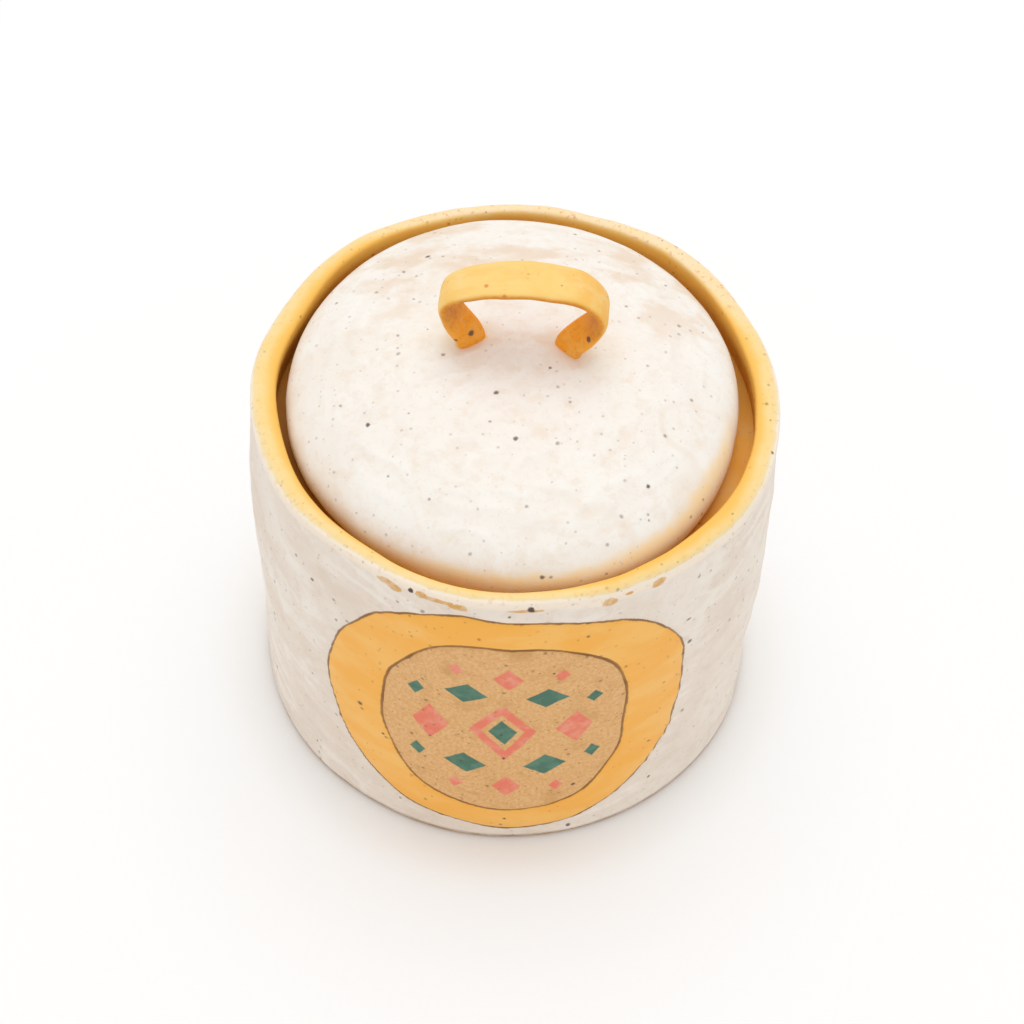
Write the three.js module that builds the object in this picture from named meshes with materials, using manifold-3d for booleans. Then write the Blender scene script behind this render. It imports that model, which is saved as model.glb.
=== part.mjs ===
// Hand-built stoneware spice jar: a slab-built pot with a seat ring inside its rim,
// and a domed lid that drops onto the seat and carries a strap handle.
// Millimetres, +Z up, origin on the table under the middle of the jar, front towards -Y.
import * as THREE from 'three';
import { mergeVertices } from 'three/addons/utils/BufferGeometryUtils.js';
import Module from 'manifold-3d';

const wasm = await Module();
wasm.setup();

// Jar
const JAR_HEIGHT = 76.2; // table to the top of the lip
const FOOT_RADIUS = 48;
const RIM_RADIUS = 48.1;
const WALL_RADII = [FOOT_RADIUS, 48.5, 48.9, 49.2, RIM_RADIUS]; // a soft belly, evenly up from the table
const WALL_THICKNESS = 4; // mean, because the mouth is oval
const MOUTH_OVAL = 0.9; // the wall is this much thicker at its sides and thinner front and back
const LIP_ROUNDING = 1.6; // height of the rounded top of the wall
const FOOT_ROUNDING = 1.2; // radius of the wall's lower outer edge
const FLOOR_THICKNESS = 5;
const FLOOR_DISHING = 0.8; // how far the floor's upper face dips in the middle

// Seat ring, a coil of clay pressed against the inside of the wall
const SEAT_DEPTH = 8.2; // lip top down to the face that the lid rests on
const SEAT_WIDTH = 6; // from the wall inwards
const SEAT_HEIGHT = 6.5; // from its lower tip to its upper face
const SEAT_EDGE = 1.2; // rounding of its inner edge

// Lid
const LID_CLEARANCE = 2; // widest part of the lid to the inside of the rim
const LID_SKIRT = 4.3; // lid's lower edge up to its widest section
const LID_TUCK = 1.3; // how far the lower edge draws in from the widest section
const LID_RISE = 14.7; // widest section up to the crown
const LID_THICKNESS = 4.6;
const LID_ROUNDNESS = 2.14; // 2 gives an ellipse, more gives fuller shoulders
const LID_REST_OFFSET = [-0.3, 0.3]; // the loose lid lies a little left and back in its seat

// Strap handle, whose two legs differ as a hand-bent strip's do: [left, right]
const HANDLE_RISE = 15.9; // crown of the lid up to the middle of the strap at the top
const HANDLE_SHOULDER = [13, 15.1]; // half the span where the arch is widest
const HANDLE_SHOULDER_HEIGHT = [9.7, 9.4];
const HANDLE_CORNER = [11, 11.9]; // half the span where the arch turns over
const HANDLE_CORNER_HEIGHT = [12.8, 14.5];
const HANDLE_FOOT = [8.2, 9.4]; // middle of the handle to the middle of each foot
const HANDLE_BOW = 0.2; // the top of the arch leans this far back
const HANDLE_BACKSET = 1.4; // the handle sits this far behind the middle of the lid
const HANDLE_TURN = -3.5; // degrees about the vertical
const STRAP_WIDTH = 9.2; // at the top of the arch
const STRAP_FOOT_WIDTH = 5.3;
const STRAP_TAPER = 1.5; // 1 narrows it evenly down each leg, more keeps it wide for longer
const STRAP_THICKNESS = 2.2;
const STRAP_TWIST = 55; // degrees that each leg turns its flat side to the front
const STRAP_TWIST_START = 0.54; // share of the half arch that stays untwisted

// Clay joints and facets
const SEAM = 0.3; // gap between two pieces of clay that meet
const SEGMENTS = 72; // round the jar
const STRAP_STEPS = 44; // along the handle
const STRAP_SIDES = 12; // round the handle's section

// Hand-formed waviness: lobes round the rim and round the lid, each with its size in mm and its phase in
// degrees. The rim's lobes fade to a share of themselves at the foot.
const RIM_LOBES = [
  { count: 1, size: 0.2, phase: 70 },
  { count: 2, size: 0.2, phase: -60 },
  { count: 4, size: 0.1, phase: -125 },
  { count: 5, size: 0.3, phase: -95 },
  { count: 8, size: 0.15, phase: -15 },
  { count: 9, size: 0.2, phase: 125 },
];
const LID_LOBES = [
  { count: 2, size: 1.1, phase: -155 },
  { count: 3, size: 0.4, phase: 165 },
  { count: 4, size: 0.35, phase: 100 },
  { count: 5, size: 0.1, phase: 5 },
];
const FOOT_LOBES_SHARE = 0.35;
const FOOT_LEAN = -0.15; // the foot lies this far to the left of the rim
const FOOT_OVAL = -0.3; // and is this much narrower, and deeper front to back
const THUMB_WAVE = 0.46; // soft hollows left by pressing the wall, by height and bearing
const THUMB_WAVE_COUNT = 3;
const THUMB_WAVE_HEIGHT = 55; // one wave up the wall
const THUMB_WAVE_START = 260; // degrees

const radians = THREE.MathUtils.degToRad;
const lerp = THREE.MathUtils.lerp;
const clamp = THREE.MathUtils.clamp;

// Value of an evenly spaced row of values at a position counted in its steps, smooth between them
function alongRow(row, position) {
  const last = row.length - 1;
  const start = clamp(Math.floor(position), 0, last - 1);
  const t = position - start;
  const entry = (i) => {
    if (i < 0) return 2 * row[0] - row[1];
    if (i > last) return 2 * row[last] - row[last - 1];
    return row[i];
  };
  const [a, b, c, d] = [entry(start - 1), entry(start), entry(start + 1), entry(start + 2)];
  return b + 0.5 * t * (c - a + t * (2 * a - 5 * b + 4 * c - d + t * (3 * (b - c) + d - a)));
}

// Radii of the wall by height, before the waviness
function outerRadius(height) {
  return alongRow(WALL_RADII, (height / JAR_HEIGHT) * (WALL_RADII.length - 1));
}

function innerRadius(height) {
  return outerRadius(height) - WALL_THICKNESS;
}

// Radial departure of a ring of lobes at one bearing
function lobed(lobes, bearing) {
  let sum = 0;
  for (const { count, size, phase } of lobes) {
    sum += size * Math.cos(count * bearing - radians(phase));
  }
  return sum;
}

// Radial departure of the wall's outside at one bearing and height
function wallWave(bearing, height) {
  const up = clamp(height / JAR_HEIGHT, 0, 1);
  const lobes = lobed(RIM_LOBES, bearing) * lerp(FOOT_LOBES_SHARE, 1, up);
  const climb = (2 * Math.PI * height) / THUMB_WAVE_HEIGHT + radians(THUMB_WAVE_START);
  const thumb = Math.sin(climb + THUMB_WAVE_COUNT * bearing) * Math.sin(Math.PI * up);
  const foot = FOOT_LEAN * Math.cos(bearing) + FOOT_OVAL * Math.cos(2 * bearing);
  return lobes + THUMB_WAVE * thumb + foot * (1 - up) ** 2;
}

// The same for any point of the jar, with the oval of the mouth inside the wall
function jarWave(bearing, height, radius) {
  const through = clamp((outerRadius(height) - radius) / WALL_THICKNESS, 0, 1);
  const inside = through * clamp(radius / innerRadius(height), 0, 1);
  return wallWave(bearing, height) * (radius / RIM_RADIUS) - MOUTH_OVAL * Math.cos(2 * bearing) * inside;
}

function lidWave(bearing, height, radius) {
  return lobed(LID_LOBES, bearing) * (radius / RIM_RADIUS);
}

// Points of an elliptical arc in the profile plane, angles in degrees
function arc(x, y, radiusX, radiusY, from, to, steps) {
  const points = [];
  for (let i = 0; i <= steps; i += 1) {
    const a = radians(lerp(from, to, i / steps));
    points.push(new THREE.Vector2(x + radiusX * Math.cos(a), y + radiusY * Math.sin(a)));
  }
  return points;
}

// Points up or down a side whose radius follows the height
function side(radiusAt, from, to, steps) {
  const points = [];
  for (let i = 0; i <= steps; i += 1) {
    const height = lerp(from, to, i / steps);
    points.push(new THREE.Vector2(radiusAt(height), height));
  }
  return points;
}

// Welds a geometry into one closed body and drops the slivers that a revolve leaves on its axis
function weld(geometry) {
  const bare = geometry.clone();
  bare.deleteAttribute('normal');
  bare.deleteAttribute('uv');
  const merged = mergeVertices(bare);
  const index = Array.from(merged.index.array);
  const kept = [];
  for (let i = 0; i < index.length; i += 3) {
    const [a, b, c] = index.slice(i, i + 3);
    if (a !== b && b !== c && c !== a) {
      kept.push(a, b, c);
    }
  }
  merged.setIndex(kept);
  return merged;
}

// Turns a profile of (radius, height) about Z, then pushes each point out by the wave there
function revolve(profile, wave) {
  const geometry = new THREE.LatheGeometry(profile, SEGMENTS);
  geometry.rotateX(Math.PI / 2);
  const solid = weld(geometry);
  const position = solid.attributes.position;
  const point = new THREE.Vector3();
  for (let i = 0; i < position.count; i += 1) {
    point.fromBufferAttribute(position, i);
    const radius = Math.hypot(point.x, point.y);
    const bearing = Math.atan2(point.y, point.x);
    const moved = radius + wave(bearing, point.z, radius);
    const grow = radius > 0 ? moved / radius : 1;
    position.setXY(i, point.x * grow, point.y * grow);
  }
  return solid;
}

function toManifold(geometry) {
  const vertProperties = Float32Array.from(geometry.attributes.position.array);
  const triVerts = Uint32Array.from(geometry.index.array);
  return new wasm.Manifold(new wasm.Mesh({ numProp: 3, vertProperties, triVerts }));
}

function fromManifold(solid) {
  const mesh = solid.getMesh();
  const geometry = new THREE.BufferGeometry();
  geometry.setAttribute('position', new THREE.BufferAttribute(mesh.vertProperties, 3));
  geometry.setIndex(new THREE.BufferAttribute(mesh.triVerts, 1));
  return geometry;
}

// Heights and radii that the pieces share
const seatTop = JAR_HEIGHT - SEAT_DEPTH;
const seatBottom = seatTop - SEAT_HEIGHT;
const lidBottom = seatTop + SEAM;
const lidWidest = lidBottom + LID_SKIRT;
const lidRadius = innerRadius(lidWidest) - LID_CLEARANCE;
const lidCrown = lidWidest + LID_RISE;

// Wall: a slab bent into a cylinder, with a rounded lip
function wallProfile() {
  const lipBase = JAR_HEIGHT - LIP_ROUNDING;
  const lipReach = (outerRadius(lipBase) - innerRadius(lipBase)) / 2;
  const lipCentre = (outerRadius(lipBase) + innerRadius(lipBase)) / 2;
  return [
    new THREE.Vector2(innerRadius(0), 0),
    ...arc(FOOT_RADIUS - FOOT_ROUNDING, FOOT_ROUNDING, FOOT_ROUNDING, FOOT_ROUNDING, -90, 0, 3),
    ...side(outerRadius, FOOT_ROUNDING, lipBase, 11).slice(1, -1),
    ...arc(lipCentre, lipBase, lipReach, LIP_ROUNDING, 0, 180, 8),
    ...side(innerRadius, lipBase, 0, 9).slice(1, -1),
    new THREE.Vector2(innerRadius(0), 0),
  ];
}

// Floor: a disc of slab inside the foot of the wall
function floorProfile() {
  const reach = innerRadius(0) - SEAM;
  const dish = (radius) => FLOOR_THICKNESS - FLOOR_DISHING * (1 - (radius / reach) ** 2);
  const top = [1, 0.75, 0.5, 0.25, 0].map((share) => new THREE.Vector2(share * reach, dish(share * reach)));
  return [new THREE.Vector2(0, 0), new THREE.Vector2(reach, 0), ...top];
}

// Seat ring: flat on top, smoothed back into the wall below
function seatProfile() {
  const back = (height) => innerRadius(height) - SEAM;
  const tip = back(seatTop) - SEAT_WIDTH + SEAT_EDGE;
  return [
    new THREE.Vector2(back(seatBottom), seatBottom),
    new THREE.Vector2(back(seatTop), seatTop),
    ...arc(tip, seatTop - SEAT_EDGE, SEAT_EDGE, SEAT_EDGE, 90, 200, 5),
    new THREE.Vector2(back(seatBottom), seatBottom),
  ];
}

// Outside of the lid by angle: 0 at the widest section, 90 at the crown
function domePoint(degrees, radius, base, rise) {
  const power = 2 / LID_ROUNDNESS;
  const x = radius * Math.cos(radians(degrees)) ** power;
  const y = base + rise * Math.sin(radians(degrees)) ** power;
  return new THREE.Vector2(degrees === 90 ? 0 : x, y);
}

function domeSide(radius, base, rise, steps) {
  const points = [];
  for (let i = 0; i <= steps; i += 1) {
    points.push(domePoint((90 * i) / steps, radius, base, rise));
  }
  return points;
}

// Lid: a shell whose lower edge tucks in under its widest section
function lidProfile() {
  const edge = lidRadius - LID_TUCK;
  const skirt = [];
  for (const share of [0, 0.35, 0.7]) {
    const tuck = LID_TUCK * (1 - share) ** 2;
    skirt.push(new THREE.Vector2(lidRadius - tuck, lidBottom + share * LID_SKIRT));
  }
  const hollow = domeSide(edge - LID_THICKNESS, lidBottom, lidCrown - lidBottom - LID_THICKNESS, 9);
  return [
    ...hollow.reverse(),
    ...skirt,
    ...domeSide(lidRadius, lidWidest, LID_RISE, 14),
  ];
}

// The lid's outside, raised by one seam, as a solid that trims the handle's feet
function lidTrimmer() {
  const raised = domeSide(lidRadius, lidWidest + SEAM, LID_RISE, 14);
  return revolve([new THREE.Vector2(0, lidWidest), new THREE.Vector2(lidRadius, lidWidest), ...raised], lidWave);
}

// Middle line of the strap, from the left foot over the arch to the right foot
function handlePath() {
  const leg = (side, sign) => [
    [HANDLE_FOOT[side], -LID_THICKNESS / 2],
    [HANDLE_FOOT[side], 0],
    [HANDLE_SHOULDER[side], HANDLE_SHOULDER_HEIGHT[side]],
    [HANDLE_CORNER[side], HANDLE_CORNER_HEIGHT[side]],
  ].map(([x, z]) => new THREE.Vector3(sign * x, 0, z));
  const top = new THREE.Vector3(0, HANDLE_BOW, HANDLE_RISE);
  return new THREE.CatmullRomCurve3([...leg(0, -1), top, ...leg(1, 1).reverse()], false, 'centripetal');
}

// Half sizes of the strap's rounded section at one angle
function strapSection(angle, width, thickness) {
  const soft = (value, power) => Math.sign(value) * Math.abs(value) ** power;
  return [0.5 * width * soft(Math.cos(angle), 0.5), 0.5 * thickness * soft(Math.sin(angle), 0.7)];
}

// Strap handle: a flat strip swept over the arch, each leg twisted to face the front
function handleGeometry() {
  const path = handlePath();
  const across = new THREE.Vector3(0, 1, 0);
  const positions = [];
  const index = [];
  for (let i = 0; i <= STRAP_STEPS; i += 1) {
    const share = i / STRAP_STEPS;
    const centre = path.getPointAt(share);
    const along = path.getTangentAt(share);
    const reach = Math.abs(2 * share - 1);
    const turn = THREE.MathUtils.smoothstep(reach, STRAP_TWIST_START, 1);
    const wide = across.clone().applyAxisAngle(along, -radians(STRAP_TWIST) * turn);
    const thick = new THREE.Vector3().crossVectors(along, wide);
    const width = lerp(STRAP_WIDTH, STRAP_FOOT_WIDTH, reach ** STRAP_TAPER);
    for (let j = 0; j < STRAP_SIDES; j += 1) {
      const angle = (2 * Math.PI * (j + 0.5)) / STRAP_SIDES;
      const [u, v] = strapSection(angle, width, STRAP_THICKNESS);
      const point = centre.clone().addScaledVector(wide, u).addScaledVector(thick, v);
      positions.push(point.x, point.y, point.z);
    }
  }
  for (let i = 0; i < STRAP_STEPS; i += 1) {
    for (let j = 0; j < STRAP_SIDES; j += 1) {
      const next = (j + 1) % STRAP_SIDES;
      const a = i * STRAP_SIDES + j;
      const b = i * STRAP_SIDES + next;
      index.push(a, b, b + STRAP_SIDES, a, b + STRAP_SIDES, a + STRAP_SIDES);
    }
  }
  const last = STRAP_STEPS * STRAP_SIDES;
  for (let j = 1; j < STRAP_SIDES - 1; j += 1) {
    index.push(0, j + 1, j, last, last + j, last + j + 1);
  }
  const geometry = new THREE.BufferGeometry();
  geometry.setAttribute('position', new THREE.Float32BufferAttribute(positions, 3));
  geometry.setIndex(index);
  geometry.rotateZ(radians(HANDLE_TURN));
  geometry.translate(0, HANDLE_BACKSET, lidCrown);
  return geometry;
}

function trimmedHandle() {
  const strap = toManifold(handleGeometry());
  const trimmed = strap.subtract(toManifold(lidTrimmer()));
  return fromManifold(trimmed);
}

function clay(color, roughness) {
  return new THREE.MeshStandardMaterial({ color, roughness, metalness: 0 });
}

function piece(name, geometry, material) {
  const mesh = new THREE.Mesh(geometry, material);
  mesh.name = name;
  return mesh;
}

const jar = new THREE.Group();
jar.add(piece('floor_slab', revolve(floorProfile(), jarWave), clay(0xf0c878, 0.45)));
jar.add(piece('jar_wall', revolve(wallProfile(), jarWave), clay(0xe6dcd2, 0.5)));
jar.add(piece('lid_seat_ring', revolve(seatProfile(), jarWave), clay(0xf2b64e, 0.45)));

const lid = new THREE.Group();
lid.position.set(...LID_REST_OFFSET, 0);
lid.add(piece('lid_dome', revolve(lidProfile(), lidWave), clay(0xf7efe6, 0.5)));
lid.add(piece('strap_handle', trimmedHandle(), clay(0xf4bf5c, 0.4)));

const group = new THREE.Group();
group.add(jar, lid);

export default group;
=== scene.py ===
"""Looks of a hand-built stoneware spice jar: speckled cream glaze outside, yellow glaze on the lip,
inside and handle, and a framed panel painted on the front of the wall.
Shapes are worked out in millimetres about the jar's axis and turned into metres as meshes are made.
Bearings run anticlockwise from the jar's right, so the front is at -90 degrees.
"""

import math

import bpy
import numpy as np
from mathutils import Matrix, Vector


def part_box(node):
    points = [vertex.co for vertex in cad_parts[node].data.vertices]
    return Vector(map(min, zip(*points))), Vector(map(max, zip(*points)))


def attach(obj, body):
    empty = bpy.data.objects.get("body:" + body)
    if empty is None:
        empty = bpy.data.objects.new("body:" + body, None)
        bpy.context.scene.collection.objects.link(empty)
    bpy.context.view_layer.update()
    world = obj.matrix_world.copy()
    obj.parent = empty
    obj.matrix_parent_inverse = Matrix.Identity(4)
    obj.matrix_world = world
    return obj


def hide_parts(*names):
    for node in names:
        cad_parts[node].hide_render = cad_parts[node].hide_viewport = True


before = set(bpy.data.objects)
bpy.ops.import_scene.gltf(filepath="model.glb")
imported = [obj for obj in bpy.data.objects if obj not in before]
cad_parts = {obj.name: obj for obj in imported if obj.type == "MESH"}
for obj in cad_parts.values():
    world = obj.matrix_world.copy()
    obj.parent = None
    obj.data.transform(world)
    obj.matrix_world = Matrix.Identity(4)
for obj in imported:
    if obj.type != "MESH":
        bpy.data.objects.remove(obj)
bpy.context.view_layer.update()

MM = 0.001
TURN = 2 * math.pi

# Jar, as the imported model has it
JAR_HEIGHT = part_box("jar_wall")[1].z / MM
FOOT_RADIUS = 48.0
RIM_RADIUS = 48.1
WALL_RADII = np.array([FOOT_RADIUS, 48.5, 48.9, 49.2, RIM_RADIUS])  # evenly up the wall
WALL_THICKNESS = 4.0
MOUTH_OVAL = 0.9
LIP_ROUNDING = 1.6
FOOT_ROUNDING = 1.2
FLOOR_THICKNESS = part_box("floor_slab")[1].z / MM
FLOOR_DISHING = 0.8
FLOOR_FILLET = 3.0
SEAT_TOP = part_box("lid_seat_ring")[1].z / MM
SEAT_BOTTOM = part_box("lid_seat_ring")[0].z / MM
SEAT_WIDTH = 6.0
SEAT_EDGE = 1.2
SEAM = 0.3

# Hand-formed waviness: lobes round the rim and the lid, each with its count, size and phase
RIM_LOBES = ((1, 0.2, 70), (2, 0.2, -60), (4, 0.1, -125), (5, 0.3, -95), (8, 0.15, -15), (9, 0.2, 125))
LID_LOBES = ((2, 1.1, -155), (3, 0.4, 165), (4, 0.35, 100), (5, 0.1, 5))
FOOT_LOBES_SHARE = 0.35
FOOT_LEAN = -0.15
FOOT_OVAL = -0.3
THUMB_WAVE = 0.46
THUMB_WAVE_COUNT = 3
THUMB_WAVE_HEIGHT = 55
THUMB_WAVE_START = math.radians(260)

# Lid
LID_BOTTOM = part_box("lid_dome")[0].z / MM
LID_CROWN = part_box("lid_dome")[1].z / MM
LID_SKIRT = 4.3
LID_TUCK = 1.3
LID_CLEARANCE = 2.0
LID_THICKNESS = 4.6
LID_ROUNDNESS = 2.14
LID_MIDDLE = (-0.3, 0.3)

# Strap handle, in pairs of left and right
HANDLE_RISE = 15.9
HANDLE_SHOULDER = (13.0, 15.1)
HANDLE_SHOULDER_HEIGHT = (9.7, 9.4)
HANDLE_CORNER = (11.0, 11.9)
HANDLE_CORNER_HEIGHT = (12.8, 14.5)
HANDLE_FOOT = (8.2, 9.4)
HANDLE_BOW = 0.2
HANDLE_BACKSET = 1.4
HANDLE_TURN = math.radians(-3.5)
STRAP_WIDTH = 9.2
STRAP_FOOT_WIDTH = 5.3
STRAP_TAPER = 1.5
STRAP_THICKNESS = 2.2
STRAP_TWIST = math.radians(55)
STRAP_TWIST_START = 0.54

SKIN = 0.05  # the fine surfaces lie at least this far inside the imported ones
WALL_MARKS = 0.75  # depth of the finger marks
LID_MARKS = 0.65
LIP_DENTS = 0.4
LIP_SQUARENESS = 3.0  # of the lip's inner side, where 2 is round
BARE_FOOT = 1.0  # height of the unglazed edge at the foot
SAND_REACH = 1.8  # how much farther over the lip the outer colours go at the back

# Steps of the meshes: round a piece and up its side, and along the strap and round it
WALL_COLUMNS = 400
WALL_CROWDING = 0.5
WALL_ROWS = 178
FLOOR_COLUMNS = 240
SEAT_COLUMNS = 320
LID_COLUMNS = 340
LID_ROWS = 92
STRAP_STEPS = 160
STRAP_SIDES = 36

# Painted panel on the front of the wall, measured round the wall and up it from its middle
PANEL_ROUND = 0.6
PANEL_HEIGHT = 37.1
FRAME_HALF = (35.8, 33.4)
FIELD_HALF = (23.4, 26.4)
FRAME_SQUARENESS = 2.35
LINE_HALF_WIDTH = 0.62
LINE_DEPTH = 0.3

# Smears of ochre below the front of the lip: round the wall, height, half length, half height
SMUDGES = (
    (-22.4, 73.5, 1.7, 0.7),
    (-20.7, 72.9, 1.4, 0.9),
    (-15.5, 73.9, 1.0, 0.8),
    (-12.2, 73.6, 4.0, 0.5),
    (-8.6, 73.1, 1.8, 0.8),
    (3.6, 73.5, 3.4, 0.35),
    (18.4, 72.7, 1.4, 1.0),
    (22.3, 73.4, 0.9, 0.4),
    (28.5, 72.9, 1.5, 1.1),
)
RIM_SPOTS = ((-17.4, 74.0, 0.55), (4.3, 73.8, 0.75))  # round the wall, height, radius

# Iron specks in the glaze: distance apart, width, share of places taken, softness and darkness
IRON_SPECKS = (
    (1.4, 0.95, 0.24, 0.90, 0.34),
    (2.4, 1.25, 0.30, 0.80, 0.58),
    (4.5, 1.50, 0.38, 0.65, 0.90),
)

# Spots on the handle: place, with its height above the lid's crown, and radius
HANDLE_IRON = (((-8.4, 1.5, 1.9), 0.6), ((12.3, -1.7, 5.2), 0.62), ((-11.1, -0.2, 1.8), 0.38))
HANDLE_RUST = (((-6.0, 0.1, 16.3), 0.5), ((-2.7, -2.4, 16.0), 0.45), ((7.5, 3.0, 16.2), 0.4))

# Camera as fitted to the photo: places in metres, its sensor in millimetres
CAMERA_TARGET = (0.000175, 0, 0.040227)
CAMERA_DISTANCE = 0.53608
CAMERA_TILT = math.radians(51.80)
CAMERA_ROLL = math.radians(2.42)
SENSOR_WIDTH = 36.0
LENS_PIXELS = 2800.0
PHOTO_PIXELS = 1024.0

# Light: a white room, and a soft lamp above and behind, in metres and watts
WORLD_LIGHT = 0.83
WORLD_TINT = (1.0, 0.995, 0.985)
LAMP_PLACE = (0.0, 0.28, 1.3)
LAMP_SIZE = 1.0
LAMP_POWER = 4.6

# Table
TABLE_HALF = 3000
TABLE_COLOUR = (0.96, 0.96, 0.957)

# Glaze colours in plain light, linear; some of them also carry painted highlight and painted shade, as
# said where they are used
CREAM = (0.845, 0.742, 0.64)
CREAM_THICK_AND_HIGHLIGHT = (0.92, 0.85, 0.765)
CREAM_THIN_AND_SHADE = (0.73, 0.585, 0.465)
LID_CREAM = (0.915, 0.865, 0.80)
LID_THICK_AND_HIGHLIGHT = (0.93, 0.90, 0.85)
LID_THIN_AND_SHADE = (0.83, 0.675, 0.53)
LID_BAND_AND_SHADE = (0.96, 0.745, 0.45)
BARE_CLAY = (0.50, 0.31, 0.165)
LIP_CREAM_AND_HIGHLIGHT = (0.96, 0.90, 0.81)
LIP_SAND = (0.98, 0.75, 0.47)
LIP_PEACH = (0.97, 0.78, 0.57)
LIP_YELLOW = (0.95, 0.68, 0.27)
YELLOW = (0.94, 0.635, 0.205)
YELLOW_THIN = (0.93, 0.74, 0.41)
YELLOW_INSIDE = (0.98, 0.54, 0.09)
YELLOW_POOLED_AND_SHADE = (0.86, 0.36, 0.028)
SHADED_GROOVE = (0.50, 0.19, 0.02)
YELLOW_EDGE = (0.92, 0.50, 0.10)
HANDLE_INSIDE_SHADE = (0.95, 0.365, 0.02)
HANDLE_SHADED = (0.60, 0.21, 0.02)
RUST = (0.78, 0.38, 0.16)
RUST_DOT = (0.74, 0.23, 0.07)
OCHRE = (0.72, 0.385, 0.10)
PANEL_YELLOW = (0.97, 0.465, 0.07)
PANEL_YELLOW_PALE = (0.975, 0.53, 0.125)
PANEL_TAN = (0.735, 0.40, 0.152)
PANEL_TAN_PALE = (0.82, 0.50, 0.23)
PANEL_TAN_DEEP = (0.58, 0.305, 0.097)
CORAL = (0.84, 0.215, 0.135)
CORAL_PALE = (0.86, 0.37, 0.25)
GREEN = (0.075, 0.18, 0.125)
GREEN_PALE = (0.12, 0.245, 0.175)
LINE_BROWN = (0.25, 0.105, 0.022)
IRON = (0.105, 0.06, 0.045)


class Wire:
    """A number on its way through a material's nodes, so that sums on it read as sums."""

    def __init__(self, look, socket):
        self.look = look
        self.socket = socket

    def maths(self, operation, *others):
        return self.look.node("Math", {"operation": operation}, dict(enumerate([self, *others])))

    def __add__(self, other):
        return self.maths("ADD", other)

    def __sub__(self, other):
        return self.maths("SUBTRACT", other)

    def __rsub__(self, other):
        return self * -1.0 + other

    def __mul__(self, other):
        return self.maths("MULTIPLY", other)

    def __truediv__(self, other):
        return self.maths("DIVIDE", other)

    def __pow__(self, other):
        return self.maths("POWER", other)

    def __abs__(self):
        return self.maths("ABSOLUTE")

    __radd__ = __add__
    __rmul__ = __mul__


def strongest(*wires):
    """The greatest of several wires."""
    greatest = wires[0]
    for wire in wires[1:]:
        greatest = greatest.maths("MAXIMUM", wire)
    return greatest


def sine(value):
    return value.maths("SINE") if isinstance(value, Wire) else np.sin(value)


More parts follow.
